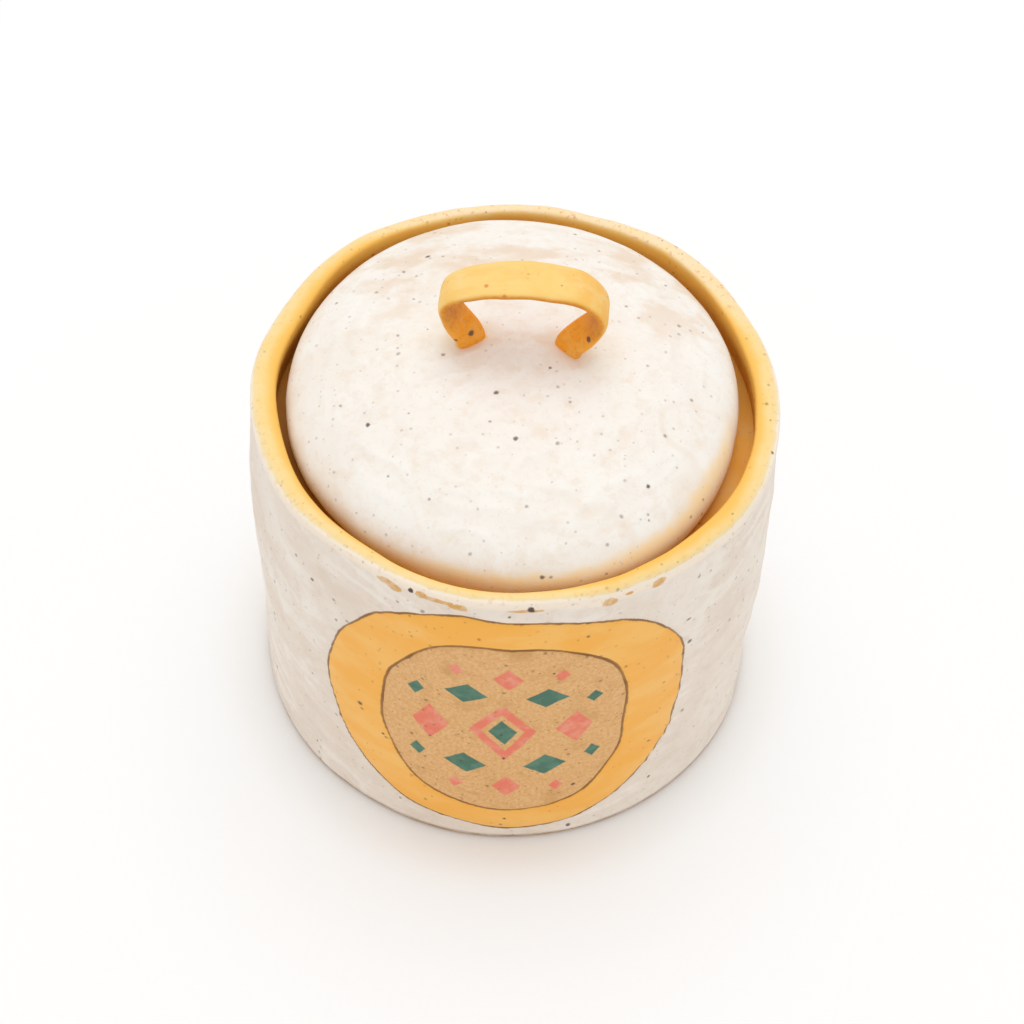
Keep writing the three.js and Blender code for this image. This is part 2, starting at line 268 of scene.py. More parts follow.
class Look:
    """A material as it is being made. place is a point of its surface in millimetres, and across and
    behind are how far the point lies to the right of the jar's axis and behind it."""

    def __init__(self, name):
        self.material = bpy.data.materials.new(name)
        self.material.use_nodes = True
        self.tree = self.material.node_tree
        self.tree.nodes.clear()
        metres = self.node("TexCoord", out="Object")
        self.place = self.node("VectorMath", {"operation": "SCALE"}, {0: metres, "Scale": 1 / MM})
        ways = (self.node("SeparateXYZ", None, {0: self.place}, out=axis) for axis in range(3))
        self.across, self.behind, self.level = ways

    def node(self, kind, settings=None, values=None, out=0):
        """One output of a new node, made with these settings and with these values coming in."""
        node = self.tree.nodes.new("ShaderNode" + kind)
        for key, value in (settings or {}).items():
            setattr(node, key, value)
        for key, value in (values or {}).items():
            socket = node.inputs[key]
            if isinstance(value, Wire):
                self.tree.links.new(value.socket, socket)
            elif isinstance(value, tuple) and socket.type == "RGBA":
                socket.default_value = (*value, 1)
            else:
                socket.default_value = value
        return Wire(self, node.outputs[out] if node.outputs else None)

    def divided(self, place, sizes):
        return self.node("VectorMath", {"operation": "DIVIDE"}, {0: place, 1: sizes})

    def attribute(self, name):
        return self.node("Attribute", {"attribute_name": name}, out="Fac")

    def noise(self, size, detail=2.0, roughness=0.5, stretch=(1, 1, 1), place=None):
        """Cloudy noise from about 0 to 1, its clouds about this many millimetres across."""
        pulled = self.divided(place or self.place, stretch)
        values = {"Vector": pulled, "Scale": 1 / size, "Detail": detail, "Roughness": roughness}
        return self.node("TexNoise", None, values)

    def sway(self, reach, size, detail=2.0, roughness=0.5):
        """Noise from about minus half this reach to plus half of it."""
        return reach * (self.noise(size, detail, roughness) - 0.5)

    def step(self, value, low, high):
        """0 at low, 1 at high and smooth between. low may be the greater."""
        values = {"Value": value, "From Min": low, "From Max": high}
        return self.node("MapRange", {"interpolation_type": "SMOOTHSTEP"}, values)

    def patches(self, low, high, size, detail=2.0, roughness=0.5, stretch=(1, 1, 1)):
        """Soft patches: 0 where the noise is under low and 1 where it is over high."""
        return self.step(self.noise(size, detail, roughness, stretch), low, high)

    def mix(self, share, first, second):
        """From the first colour to the second."""
        settings = {"data_type": "RGBA", "clamp_factor": True}
        return self.node("Mix", settings, {0: share, 6: first, 7: second}, out=2)

    def slanted(self, slope, stroke):
        """The place for strokes of this size that climb this much for each step to the right."""
        climbing = {0: self.across, 1: self.behind, 2: self.level + slope * self.across}
        return self.divided(self.node("CombineXYZ", None, climbing), stroke)

    def ringed(self, radius, turns, width):
        """The place for marks that run round the middle, each this wide, so many in a turn."""
        x, y = (way / (radius + 0.5) for way in (self.across, self.behind))
        return self.node("CombineXYZ", None, {0: x * turns, 1: y * turns, 2: radius / width})

    def specks(self, place, pitch, size, share, softness=0.45):
        """Round spots: cells this far apart, spots up to this wide, in this share of the cells."""
        settings = {"feature": "F1", "voronoi_dimensions": "3D"}
        values = {"Vector": place, "Scale": 1 / pitch, "Randomness": 1.0}
        distance = self.node("TexVoronoi", settings, values)
        colour = self.node("TexVoronoi", settings, values, out="Color")
        chance, draw = (self.node("SeparateColor", None, {0: colour}, out=k) for k in range(2))
        reach = size / pitch / 2 * (0.45 + 0.55 * draw)
        edge = self.step(distance / reach, 1.0, 1.0 - softness)
        return edge * self.step(chance, share + 0.01, share)

    def bump(self, height, depth):
        """A normal from a height of 0 to 1 that stands for this many millimetres."""
        return self.node("Bump", None, {"Height": height, "Distance": depth * MM, "Strength": 1.0})

    def show(self, shader):
        self.node("OutputMaterial", None, {"Surface": shader})

    def glaze(self, colour, roughness, normal, specular=0.35):
        values = {"Base Color": colour, "Roughness": roughness, "Normal": normal}
        values["Specular IOR Level"] = specular
        self.show(self.node("BsdfPrincipled", None, values))
        return self.material


# Noise and profiles


def scrambled(key):
    """Whole numbers well mixed, in 32 bits."""
    for shift, factor in ((15, 2246822519), (13, 3266489917)):
        key = ((key ^ (key >> shift)) * factor) & 0xFFFFFFFF
    return key


def lattice_noise(points, seed):
    """Smooth noise from 0 to 1 at an array of points, with one random slope at each whole number."""
    cell = np.floor(points).astype(np.int64)
    part = points - cell
    fade = part**3 * (part * (6 * part - 15) + 10)
    total = 0
    for corner in range(8):
        step = np.array([corner & 1, (corner >> 1) & 1, (corner >> 2) & 1])
        key = (cell + step) @ np.array([73856093, 19349663, 83492791]) + seed * 668265263
        key = scrambled(key & 0xFFFFFFFF)
        slope = np.stack([(key >> shift) & 0xFF for shift in (0, 8, 16)], -1) / 127.5 - 1
        weight = np.prod(np.where(step == 1, fade, 1 - fade), axis=-1)
        total = total + weight * np.sum(slope * (part - step), axis=-1)
    return np.clip(0.5 + 0.85 * total, 0, 1)


def clouds(x, y, height, width, tall, seed):
    """Lattice noise over millimetres, its clouds this wide and this tall."""
    return lattice_noise(np.stack([x / width, y / width, height / tall], -1), seed)


def smooth(value, low, high):
    share = np.clip((value - low) / (high - low), 0, 1)
    return share * share * (3 - 2 * share)


def along_row(row, position):
    """Values of an evenly spaced row at positions counted in its steps, smooth between them."""
    position = np.asarray(position, dtype=float)
    start = np.clip(np.floor(position).astype(int), 0, len(row) - 2)
    part = position - start
    longer = np.concatenate([[2 * row[0] - row[1]], row, [2 * row[-1] - row[-2]]])
    a, b, c, d = (longer[start + k] for k in range(4))
    bend = 2 * a - 5 * b + 4 * c - d + part * (3 * (b - c) + d - a)
    return b + 0.5 * part * (c - a + part * bend)


def outer_radius(height):
    return along_row(WALL_RADII, height / JAR_HEIGHT * (len(WALL_RADII) - 1))


def inner_radius(height):
    return outer_radius(height) - WALL_THICKNESS


def lobed(lobes, bearing):
    return sum(size * np.cos(count * bearing - math.radians(phase)) for count, size, phase in lobes)


def wall_wave(bearing, height):
    up = np.clip(height / JAR_HEIGHT, 0, 1)
    shape = lobed(RIM_LOBES, bearing) * (FOOT_LOBES_SHARE + (1 - FOOT_LOBES_SHARE) * up)
    climb = TURN * height / THUMB_WAVE_HEIGHT + THUMB_WAVE_START
    thumb = np.sin(climb + THUMB_WAVE_COUNT * bearing) * np.sin(math.pi * up)
    foot = FOOT_LEAN * np.cos(bearing) + FOOT_OVAL * np.cos(2 * bearing)
    return shape + THUMB_WAVE * thumb + foot * (1 - up) ** 2


def jar_wave(bearing, height, radius):
    """How far a point of the jar lies outside a true circle."""
    through = np.clip((outer_radius(height) - radius) / WALL_THICKNESS, 0, 1)
    inside = through * np.clip(radius / inner_radius(height), 0, 1)
    return wall_wave(bearing, height) * radius / RIM_RADIUS - MOUTH_OVAL * np.cos(2 * bearing) * inside


def lid_wave(bearing, height, radius):
    return lobed(LID_LOBES, bearing) * radius / RIM_RADIUS


def arc(x, y, radius_x, radius_y, start, end, steps):
    angle = np.radians(np.linspace(start, end, steps + 1))
    return np.stack([x + radius_x * np.cos(angle), y + radius_y * np.sin(angle)], 1)


def side(radius_at, start, end, steps):
    height = np.linspace(start, end, steps + 1)
    return np.stack([radius_at(height), height], 1)


def line(start, end, steps):
    share = np.linspace(0, 1, steps + 1)[:, None]
    return np.array(start) * (1 - share) + np.array(end) * share


def join(*parts):
    """One profile out of several, without the doubled points where they meet."""
    points = np.concatenate(parts)
    apart = np.linalg.norm(np.diff(points, axis=0), axis=1) > 1e-4
    return points[np.concatenate([[True], apart])]


def walked(profile):
    """Distance along a profile to each of its points."""
    return np.concatenate([[0], np.cumsum(np.linalg.norm(np.diff(profile, axis=0), axis=1))])


def even_bearings(count):
    return np.arange(count) * TURN / count - math.pi


def front_bearings(count, crowding):
    """Bearings round the jar, closer together at the front."""
    way = even_bearings(count)
    bearing = way - crowding * np.sin(way) - math.pi / 2
    return np.mod(bearing + math.pi, TURN) - math.pi


# Meshes


def add_object(name, data):
    made = bpy.data.objects.new(name, data)
    bpy.context.collection.objects.link(made)
    return made


def add_mesh(name, points, faces, material):
    """A piece from points in millimetres, smooth shaded."""
    mesh = bpy.data.meshes.new(name)
    mesh.from_pydata((points * MM).tolist(), [], faces)
    mesh.polygons.foreach_set("use_smooth", [True] * len(mesh.polygons))
    mesh.materials.append(material)
    mesh.update()
    return add_object(name, mesh)


def add_attributes(piece, **attributes):
    for name, values in attributes.items():
        layer = piece.data.attributes.new(name, "FLOAT", "POINT")
        layer.data.foreach_set("value", np.asarray(values, dtype=np.float32).reshape(-1))


def grid_faces(rows, columns, closed):
    """Quads over a grid that wraps round its columns, and round its rows where closed."""
    row = np.arange(rows if closed else rows - 1)[:, None]
    column = np.arange(columns)[None, :]
    below = row * columns
    above = (row + 1) % rows * columns
    after = (column + 1) % columns
    corners = [below + column, below + after, above + after, above + column]
    return np.stack(np.broadcast_arrays(*corners), -1).reshape(-1, 4).tolist()


def normals(profile, closed):
    """Directions out of a profile at its points."""
    ahead = np.roll(profile, -1, 0) if closed else np.concatenate([profile[1:], profile[-1:]])
    behind = np.roll(profile, 1, 0) if closed else np.concatenate([profile[:1], profile[:-1]])
    along = ahead - behind
    along = along / np.maximum(np.linalg.norm(along, axis=1, keepdims=True), 1e-9)
    return np.stack([along[:, 1], -along[:, 0]], 1)


def turned(name, profile, bearings, wave, relief, material, closed=True, middle=(0, 0)):
    """A profile of (radius, height) turned about Z. It runs anticlockwise, seen with Z up and radius
    to the right, so that its faces look out. The wave moves a point outwards and the relief inwards
    along the surface's normal. An open profile starts and ends on the axis.
    Gives the piece with each of its points' bearing, radius and height on the profile."""
    normal = normals(profile, closed)
    bearing, radius = np.meshgrid(bearings, profile[:, 0])
    height = np.repeat(profile[:, 1:], len(bearings), 1)
    depth = SKIN + relief(bearing, radius, height)
    pushed = radius + wave(bearing, height, radius) - depth * normal[:, :1]
    x, y = pushed * np.cos(bearing) + middle[0], pushed * np.sin(bearing) + middle[1]
    z = height - depth * normal[:, 1:]
    points = np.stack([x, y, z], -1).reshape(-1, 3)
    faces = grid_faces(len(profile), len(bearings), closed)
    ways = [bearing.reshape(-1), radius.reshape(-1), height.reshape(-1)]
    if not closed:
        points, faces = close_poles(points, faces, len(bearings), middle)
        kept = slice(len(bearings), -len(bearings))
        ways = [np.concatenate([way[kept], way[:1], way[-1:]]) for way in ways]
    return add_mesh(name, points, faces, material), ways


def close_poles(points, faces, columns, middle):
    """Draws the first and last rows of an open turned grid together into one point each."""
    rows = len(points) // columns
    first = len(points) - 2 * columns
    last = first + 1
    ends = [[*middle, points[:columns, 2].mean()], [*middle, points[-columns:, 2].mean()]]
    kept = np.concatenate([points[columns:-columns], np.array(ends)])
    inner = [[corner - columns for corner in face] for face in faces[columns:-columns]]
    top = (rows - 3) * columns
    for i in range(columns):
        after = (i + 1) % columns
        inner.append([first, after, i])
        inner.append([top + i, top + after, last])
    return kept, inner


# Panel on the wall


def hand_drawn(across, up):
    """The panel's coordinates with the small errors of a hand that draws on clay."""
    moved = across + 0.5 * sine(0.17 * up + 1.1) + 0.2 * sine(0.41 * up + 0.13 * across)
    return moved, up + 0.5 * sine(0.16 * across + 0.4) + 0.2 * sine(0.37 * across + 2.0)


def oval_gap(across, up, half):
    """How far a point lies outside a squarish oval, measured from its middle."""
    power = FRAME_SQUARENESS
    reach = (abs(across / half[0]) ** power + abs(up / half[1]) ** power) ** (1 / power)
    length = (across * across + up * up) ** 0.5
    return length - length / (reach + 1e-6)


def panel_point(round_wall, height):
    return hand_drawn(round_wall - PANEL_ROUND, height - PANEL_HEIGHT)


def panel_grooves(round_wall, height):
    """Depth of the incised outlines, 0 to 1."""
    across, up = panel_point(round_wall, height)
    gaps = [np.abs(oval_gap(across, up, half)) for half in (FRAME_HALF, FIELD_HALF)]
    return 1 - smooth(np.minimum(*gaps), 0, LINE_HALF_WIDTH)


# Reliefs


def round_wall(bearing):
    """Distance round the wall from its front, positive to the right."""
    return (np.mod(bearing + math.pi / 2 + math.pi, TURN) - math.pi) * (RIM_RADIUS + 0.7)


def plan(bearing, radius):
    return radius * np.cos(bearing), radius * np.sin(bearing)


def ridged(noise):
    return 1 - np.abs(2 * noise - 1)


def wall_marks(bearing, radius, height):
    """Finger and brush marks that run round the wall: 0 on a ridge, 1 in a hollow."""
    x, y = plan(bearing, radius)
    tilt = 0.25 * x
    strokes = clouds(x, y, height + tilt, 15, 4.6, 3)
    fine = clouds(x, y, height - tilt, 8, 2.2, 4)
    broad = clouds(x, y, height, 21, 15, 5)
    patch = smooth(clouds(x, y, height, 17, 17, 6), 0.35, 0.6)
    crest = ridged(strokes) ** 3 * (0.35 + 0.65 * patch)
    return np.clip(0.62 * broad + 0.42 - 0.5 * crest + 0.22 * (fine - 0.5) * patch, 0, 1)


def wall_relief(bearing, radius, height):
    """Marks outside, weaker in the panel and under the lip, dents in the lip and the panel's lines."""
    across = round_wall(bearing)
    outside = smooth(radius, outer_radius(height) - 2.2, outer_radius(height) - 0.6)
    body = smooth(height, 0.3, 4) * (1 - 0.65 * smooth(height, JAR_HEIGHT - 6, JAR_HEIGHT - 2))
    in_panel = 1 - smooth(oval_gap(across, height - PANEL_HEIGHT, FRAME_HALF), -3, 3)
    left = smooth(-np.cos(bearing), 0.7, 0.95) * smooth(height, JAR_HEIGHT - 20, JAR_HEIGHT)
    share = (0.12 + 0.88 * outside) * (1 - 0.6 * in_panel * outside) * (1 - 0.7 * left)
    depth = WALL_MARKS * wall_marks(bearing, radius, height) * body * share
    x, y = plan(bearing, radius)
    dents = LIP_DENTS * clouds(x, y, height, 8, 8, 8)
    depth = depth + dents * smooth(height, JAR_HEIGHT - 4, JAR_HEIGHT) * (1 - 0.9 * left)
    return depth + outside * LINE_DEPTH * panel_grooves(across, height)


def soft_relief(seed, depth):
    def relief(bearing, radius, height):
        x, y = plan(bearing, radius)
        return depth * clouds(x, y, height, 7, 5, seed)

    return relief


def lid_marks(bearing, radius, height):
    """Brush marks that run round the lid: 0 on a ridge, 1 in a hollow."""
    x, y = plan(bearing, radius)
    ring = np.stack([3.2 * np.cos(bearing), 3.2 * np.sin(bearing), radius / 4.2], -1)
    across = np.stack([(x + 0.6 * y) / 14, (y - 0.6 * x) / 5, height / 30], -1)
    outer = smooth(radius, 12, 26)
    crest = ridged(lattice_noise(ring, 21)) * outer + ridged(lattice_noise(across, 22)) * (1 - outer)
    broad = clouds(x, y, height, 13, 13, 23)
    fine = clouds(x, y, height, 4.5, 4.5, 24)
    return np.clip(0.6 * broad + 0.4 - 0.42 * crest**3 + 0.25 * (fine - 0.5), 0, 1)


def lid_relief(bearing, radius, height):
    near_axis = 1 - smooth(radius, 0, 4)
    marks = lid_marks(bearing, radius, height) * (1 - 0.7 * smooth(radius, 35, 40))
    return LID_MARKS * (marks * (1 - near_axis) + 0.3 * near_axis)


# Pieces


def wall_profile():
    base = JAR_HEIGHT - LIP_ROUNDING
    middle = (outer_radius(base) + inner_radius(base)) / 2
    reach = (outer_radius(base) - inner_radius(base)) / 2
    foot = FOOT_RADIUS - FOOT_ROUNDING
    lip_inside = dome(reach, base, LIP_ROUNDING, 14, LIP_SQUARENESS)[::-1] * (-1, 1) + (middle, 0)
    return join(
        line((inner_radius(0), 0), (foot, 0), 4),
        arc(foot, FOOT_ROUNDING, FOOT_ROUNDING, FOOT_ROUNDING, -90, 0, 5),
        side(outer_radius, FOOT_ROUNDING, base, WALL_ROWS),
        arc(middle, base, reach, LIP_ROUNDING, 0, 90, 10),
        lip_inside,
        side(inner_radius, base, 0, 36),
    )[:-1]


def floor_profile():
    reach = inner_radius(0) - 0.1
    start = reach - FLOOR_FILLET
    radius = np.linspace(start, 0, 30)
    dish = FLOOR_THICKNESS - FLOOR_DISHING * (1 - (radius / reach) ** 2)
    return join(
        line((0, 0), (reach, 0), 24),
        line((reach, 0), (reach, dish[0] + FLOOR_FILLET), 6),
        arc(start, dish[0] + FLOOR_FILLET, FLOOR_FILLET, FLOOR_FILLET, 0, -90, 8),
        np.stack([radius, dish], 1),
    )


def seat_profile():
    def back(height):
        return inner_radius(height) + 0.5

    tip = inner_radius(SEAT_TOP) - SEAM - SEAT_WIDTH + SEAT_EDGE
    edge = arc(tip, SEAT_TOP - SEAT_EDGE, SEAT_EDGE, SEAT_EDGE, 90, 215, 9)
    root = (inner_radius(SEAT_BOTTOM) - 0.1, SEAT_BOTTOM)
    return join(
        line((back(SEAT_BOTTOM), SEAT_BOTTOM), (back(SEAT_TOP), SEAT_TOP), 6),
        line((back(SEAT_TOP), SEAT_TOP), edge[0], 8),
        edge,
        line(edge[-1], root, 10),
        line(root, (back(SEAT_BOTTOM), SEAT_BOTTOM), 1),
    )[:-1]


def dome(radius, base, rise, steps, squareness=LID_ROUNDNESS):
    """A quarter of a squarish ellipse, from its side up to its top."""
    angle = np.radians(np.linspace(0, 90, steps + 1))
    power = 2 / squareness
    across = radius * np.maximum(np.cos(angle), 0) ** power
    across[-1] = 0
    return np.stack([across, base + rise * np.maximum(np.sin(angle), 0) ** power], 1)


def lid_profile():
    """The lid's profile from the middle of its hollow out and back to its crown."""
    widest = LID_BOTTOM + LID_SKIRT
    radius = inner_radius(widest) - LID_CLEARANCE
    edge = radius - LID_TUCK
    hollow = dome(edge - LID_THICKNESS, LID_BOTTOM, LID_CROWN - LID_BOTTOM - LID_THICKNESS, 44)
    share = np.linspace(0.2, 1, 9)
    skirt = np.stack([radius - LID_TUCK * (1 - share) ** 2, LID_BOTTOM + share * LID_SKIRT], 1)
    return join(
        hollow[::-1],
        line((edge - LID_THICKNESS, LID_BOTTOM), (edge - 0.9, LID_BOTTOM), 6),
        arc(edge - 0.7, LID_BOTTOM + 0.8, 0.8, 0.8, -90, -25, 4),
        skirt,
        dome(radius, widest, LID_CROWN - widest, LID_ROWS),
    )


def centripetal_curve(knots, steps):
    """A smooth curve through the knots that doesn't overshoot where they are uneven."""
    knots = np.concatenate([[2 * knots[0] - knots[1]], knots, [2 * knots[-1] - knots[-2]]])
    t = np.linspace(0, 1, steps, endpoint=False)[:, None]
    points = []
    for p0, p1, p2, p3 in zip(knots, knots[1:], knots[2:], knots[3:]):
        d0, d1, d2 = (np.linalg.norm(b - a) ** 0.5 for a, b in ((p0, p1), (p1, p2), (p2, p3)))
        start = ((p1 - p0) / d0 - (p2 - p0) / (d0 + d1) + (p2 - p1) / d1) * d1
        end = ((p2 - p1) / d1 - (p3 - p1) / (d1 + d2) + (p3 - p2) / d2) * d1
        curve = (2 * t**3 - 3 * t**2 + 1) * p1 + (t**3 - 2 * t**2 + t) * start
        points.append(curve + (3 * t**2 - 2 * t**3) * p2 + (t**3 - t**2) * end)
    return np.concatenate([*points, knots[-2:-1]])


def handle_line(count):
    """Points along the middle of the strap, evenly spaced, and the direction at each."""
    legs = []
    for leg, way in ((0, -1), (1, 1)):
        legs.append([
            (way * HANDLE_FOOT[leg], 0, -LID_THICKNESS / 2),
            (way * HANDLE_FOOT[leg], 0, 0),
            (way * HANDLE_SHOULDER[leg], 0, HANDLE_SHOULDER_HEIGHT[leg]),
            (way * HANDLE_CORNER[leg], 0, HANDLE_CORNER_HEIGHT[leg]),
        ])
    knots = np.array([*legs[0], (0, HANDLE_BOW, HANDLE_RISE), *reversed(legs[1])], float)
    dense = centripetal_curve(knots, 60)
    length = walked(dense)
    share = np.linspace(0, length[-1], count)
    middle = np.stack([np.interp(share, length, dense[:, k]) for k in range(3)], 1)
    along = np.gradient(middle, axis=0)
    return middle, along / np.linalg.norm(along, axis=1, keepdims=True)


def soft_power(value, power):
    return np.sign(value) * np.abs(value) ** power


def strap_points(steps, sides):
    """The strap's surface from its place on the lid's crown, with each point's height there, how far
    it looks in under the arch and how near it is to an edge."""
    middle, along = handle_line(steps)
    reach = np.abs(2 * np.linspace(0, 1, steps) - 1)
    twist = -STRAP_TWIST * smooth(reach, STRAP_TWIST_START, 1)[:, None]
    across = np.tile([0.0, 1.0, 0.0], (steps, 1))
    wide = across * np.cos(twist) + np.cross(along, across) * np.sin(twist)
    thick = np.cross(along, wide)
    flare = 0.3 * np.exp(-np.maximum(middle[:, 2:] + 0.3, 0) / 1.5) * (reach[:, None] > 0.5)
    angle = (np.arange(sides) + 0.5) * TURN / sides
    taper = reach[:, None] ** STRAP_TAPER
    width = STRAP_WIDTH + (STRAP_FOOT_WIDTH - STRAP_WIDTH) * taper - 2 * SKIN + flare
    depth = STRAP_THICKNESS - 2 * SKIN + flare
    away = wide[:, None] * (0.5 * width * soft_power(np.cos(angle), 0.5))[..., None]
    away = away + thick[:, None] * (0.5 * depth * soft_power(np.sin(angle), 0.7))[..., None]
    lumps = lattice_noise((middle[:, None] + away) / 4.2, 31)[..., None]
    points = middle[:, None] + away * (1 - 0.09 * lumps)
    looks_in = np.repeat(smooth(-np.sin(angle), -0.4, 0.15)[None], steps, 0)
    edge = np.repeat(smooth(np.abs(np.cos(angle)), 0.8, 0.98)[None], steps, 0)
    return points, np.repeat(middle[:, 2:], sides, 1), looks_in, edge


def add_strap():
    points, above, looks_in, edge = strap_points(STRAP_STEPS, STRAP_SIDES)
    turn = np.array(Matrix.Rotation(HANDLE_TURN, 3, "Z"))
    start = np.array([LID_MIDDLE[0], LID_MIDDLE[1] + HANDLE_BACKSET, LID_CROWN])
    points = points.reshape(-1, 3) @ turn.T + start
    faces = grid_faces(STRAP_STEPS, STRAP_SIDES, False)
    faces.append(list(range(STRAP_SIDES))[::-1])
    faces.append(list(range(len(points) - STRAP_SIDES, len(points))))
    handle = add_mesh("handle_glazed", points, faces, handle_finish())
    add_attributes(handle, looks_in=looks_in, above_lid=above, edge=edge)
    finish_piece(handle, "lid", "strap_handle")


def finish_piece(piece, body, node):
    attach(piece, body)
    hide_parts(node)


def past_lip_corner(profile):
    """Distance along the wall's profile past the outer corner of the lip, less than 0 outside it."""
    length = walked(profile)
    upper = np.where(profile[:, 0] > RIM_RADIUS - 1.5, profile[:, 1], 0)
    corner = np.argmin(np.abs(upper - (JAR_HEIGHT - LIP_ROUNDING)))
    past = length - length[corner]
    past[profile[:, 1] < 0.01] = -50  # the underside is outside too
    return past


def add_wall():
    profile = wall_profile()
    bearings = front_bearings(WALL_COLUMNS, WALL_CROWDING)
    wall, (bearing, radius, height) = turned(
        "wall_glazed", profile, bearings, jar_wave, wall_relief, wall_finish()
    )
    lip = np.repeat(past_lip_corner(profile), WALL_COLUMNS)
    marks = wall_marks(bearing, radius, height)
    add_attributes(wall, round=round_wall(bearing), height=height, lip=lip, marks=marks)
    finish_piece(wall, "jar", "jar_wall")


def add_floor():
    bearings = even_bearings(FLOOR_COLUMNS)
    relief = soft_relief(7, 0.3)
    floor, (_, _, height) = turned(
        "floor_glazed", floor_profile(), bearings, jar_wave, relief, floor_finish(), False
    )
    add_attributes(floor, height=height)
    finish_piece(floor, "jar", "floor_slab")


def add_seat():
    bearings = even_bearings(SEAT_COLUMNS)
    relief = soft_relief(9, 0.35)
    seat, (_, radius, _) = turned(
        "seat_glazed", seat_profile(), bearings, jar_wave, relief, seat_finish()
    )
    add_attributes(seat, past_tip=radius - (inner_radius(SEAT_TOP) - SEAT_WIDTH))
    finish_piece(seat, "jar", "lid_seat_ring")


def foot_gap(points):
    """Distance along the lid from each point to the nearer foot of the handle."""
    turn = np.array(Matrix.Rotation(HANDLE_TURN, 2))
    gap = np.full(len(points), np.inf)
    for leg, way in ((0, -1), (1, 1)):
        middle = turn @ np.array([way * HANDLE_FOOT[leg], 0])
        along = turn @ np.array([-way * math.sin(STRAP_TWIST), math.cos(STRAP_TWIST)])
        away = points[:, :2] - middle - np.array([LID_MIDDLE[0], LID_MIDDLE[1] + HANDLE_BACKSET])
        ahead = np.maximum(np.abs(away @ along) - STRAP_FOOT_WIDTH / 2, 0)
        beside = np.maximum(np.abs(away @ np.array([-along[1], along[0]])) - STRAP_THICKNESS / 2, 0)
        gap = np.minimum(gap, np.hypot(ahead * 0.6, beside))
    return gap


def add_lid():
    bearings = even_bearings(LID_COLUMNS)
    lid, (bearing, radius, height) = turned(
        "lid_glazed", lid_profile(), bearings, lid_wave, lid_relief, lid_finish(), False, LID_MIDDLE
    )
    x, y = plan(bearing, radius)
    points = np.stack([x + LID_MIDDLE[0], y + LID_MIDDLE[1]], 1)
    marks = lid_marks(bearing, radius, height)
    add_attributes(lid, height=height, out=radius, marks=marks, foot_gap=foot_gap(points))
    finish_piece(lid, "lid", "lid_dome")


# Finishes


def iron_specks(look, density):
    """Iron spots of three sizes, darker as they get larger."""
    shaken = 0.35 * look.noise(0.6, 2)
    uneven = look.node("VectorMath", {"operation": "ADD"}, {0: look.place, 1: shaken})
    specks = []
    for pitch, size, share, softness, darkness in IRON_SPECKS:
        specks.append(look.specks(uneven, pitch, size, share * density, softness) * darkness)
    return strongest(*specks)


def cream_colour(look, streaked, colours):
    """Cream glaze in pale and pinkish clouds, with painted highlight on the ridges of the marks and
    painted shade in their hollows.
    streaked is the place pulled out along the brush strokes."""
    colour, thick, thin = colours
    ragged = look.attribute("marks") + look.sway(0.5, 2.6, 4, 0.65)
    streak = look.noise(1, 5, 0.66, place=streaked)
    mottle = look.noise(3.2, 4, 0.62)
    coats = (
        (look.noise(15, 3, 0.55), 0.42, 0.66, 0.50, thick),
        # The next two coats are painted highlight on the ridges of the marks and painted shade in
        # their hollows
        (ragged, 0.46, 0.20, 0.80, thick),
        (ragged, 0.62, 0.92, 0.30, thin),
        (streak, 0.52, 0.74, 0.32, thin),
        (streak, 0.42, 0.28, 0.35, thick),
        (mottle, 0.52, 0.70, 0.32, thin),
        (mottle, 0.46, 0.30, 0.40, thick),
        (look.noise(22, 2), 0.50, 0.70, 0.18, thin),
        (look.noise(1.1, 3, 0.7), 0.52, 0.76, 0.36, thin),
    )
    for cloud, low, high, share, coat in coats:
        colour = look.mix(look.step(cloud, low, high) * share, colour, coat)
    return colour


def glaze_bump(look, depth=0.05):
    ripple = look.noise(2.2, 3, 0.55)
    grain = look.noise(0.5, 2, 0.5)
    return look.bump(ripple * 0.75 + grain * 0.25, depth)


def lip_colour(look, outside):
    """Yellow glaze over the lip, pale where it meets the cream, with painted highlight there, and
    deeper down the inside, partly painted shade. lip is the distance past the lip's outer corner, and
    strays from the true one."""
    wander = look.sway(1.7, 11, 2) + look.sway(0.9, 2.2, 3, 0.6)
    sandy = look.step(look.behind, 10, 34) * look.step(look.across, -36, -12)
    front = look.step(look.behind, -22, -44)
    front_right = look.step(look.across, 4, 18) * look.step(look.behind, -16, -30)
    lip = look.attribute("lip") + wander - 0.3 * sandy - 0.8 * front + 1.3 * front_right
    patch = look.patches(0.40, 0.62, 4, 3, 0.6)
    # Pale cream on the lip's outer rounding: partly the glaze, partly painted highlight
    colour = look.mix(look.step(lip, -2.0, -0.6), outside, LIP_CREAM_AND_HIGHLIGHT)
    colour = look.mix(look.step(lip, 0.3, 1.3), colour, YELLOW_THIN)
    colour = look.mix(look.step(lip, 0.9, 2.4) * (0.7 + 0.3 * patch), colour, LIP_YELLOW)
    colour = look.mix(look.step(abs(lip + 0.5), 1.6, 0.4) * 0.5, colour, LIP_PEACH)
    inner = lip - SAND_REACH * sandy
    colour = worn_lip(look, colour, inner, sandy, patch)
    colour = look.mix(look.step(inner, 2.4, 4.4) * 0.9, colour, YELLOW_INSIDE)
    # Deeper orange down the inside of the jar: partly where the glaze pools, partly painted shade,
    # kept lighter at the front and at the back
    pooled_and_shade = look.step(inner, 7.0, 10.0) * (0.8 - 0.6 * front - 0.5 * sandy)
    colour = look.mix(pooled_and_shade, colour, YELLOW_POOLED_AND_SHADE)
    # Painted shade deep in the gaps beside the lid
    groove = look.step(lip, 6.3, 8.8) * look.step(lip, 18.0, 13.0)
    return look.mix(shaded_side(look) * groove, colour, SHADED_GROOVE)


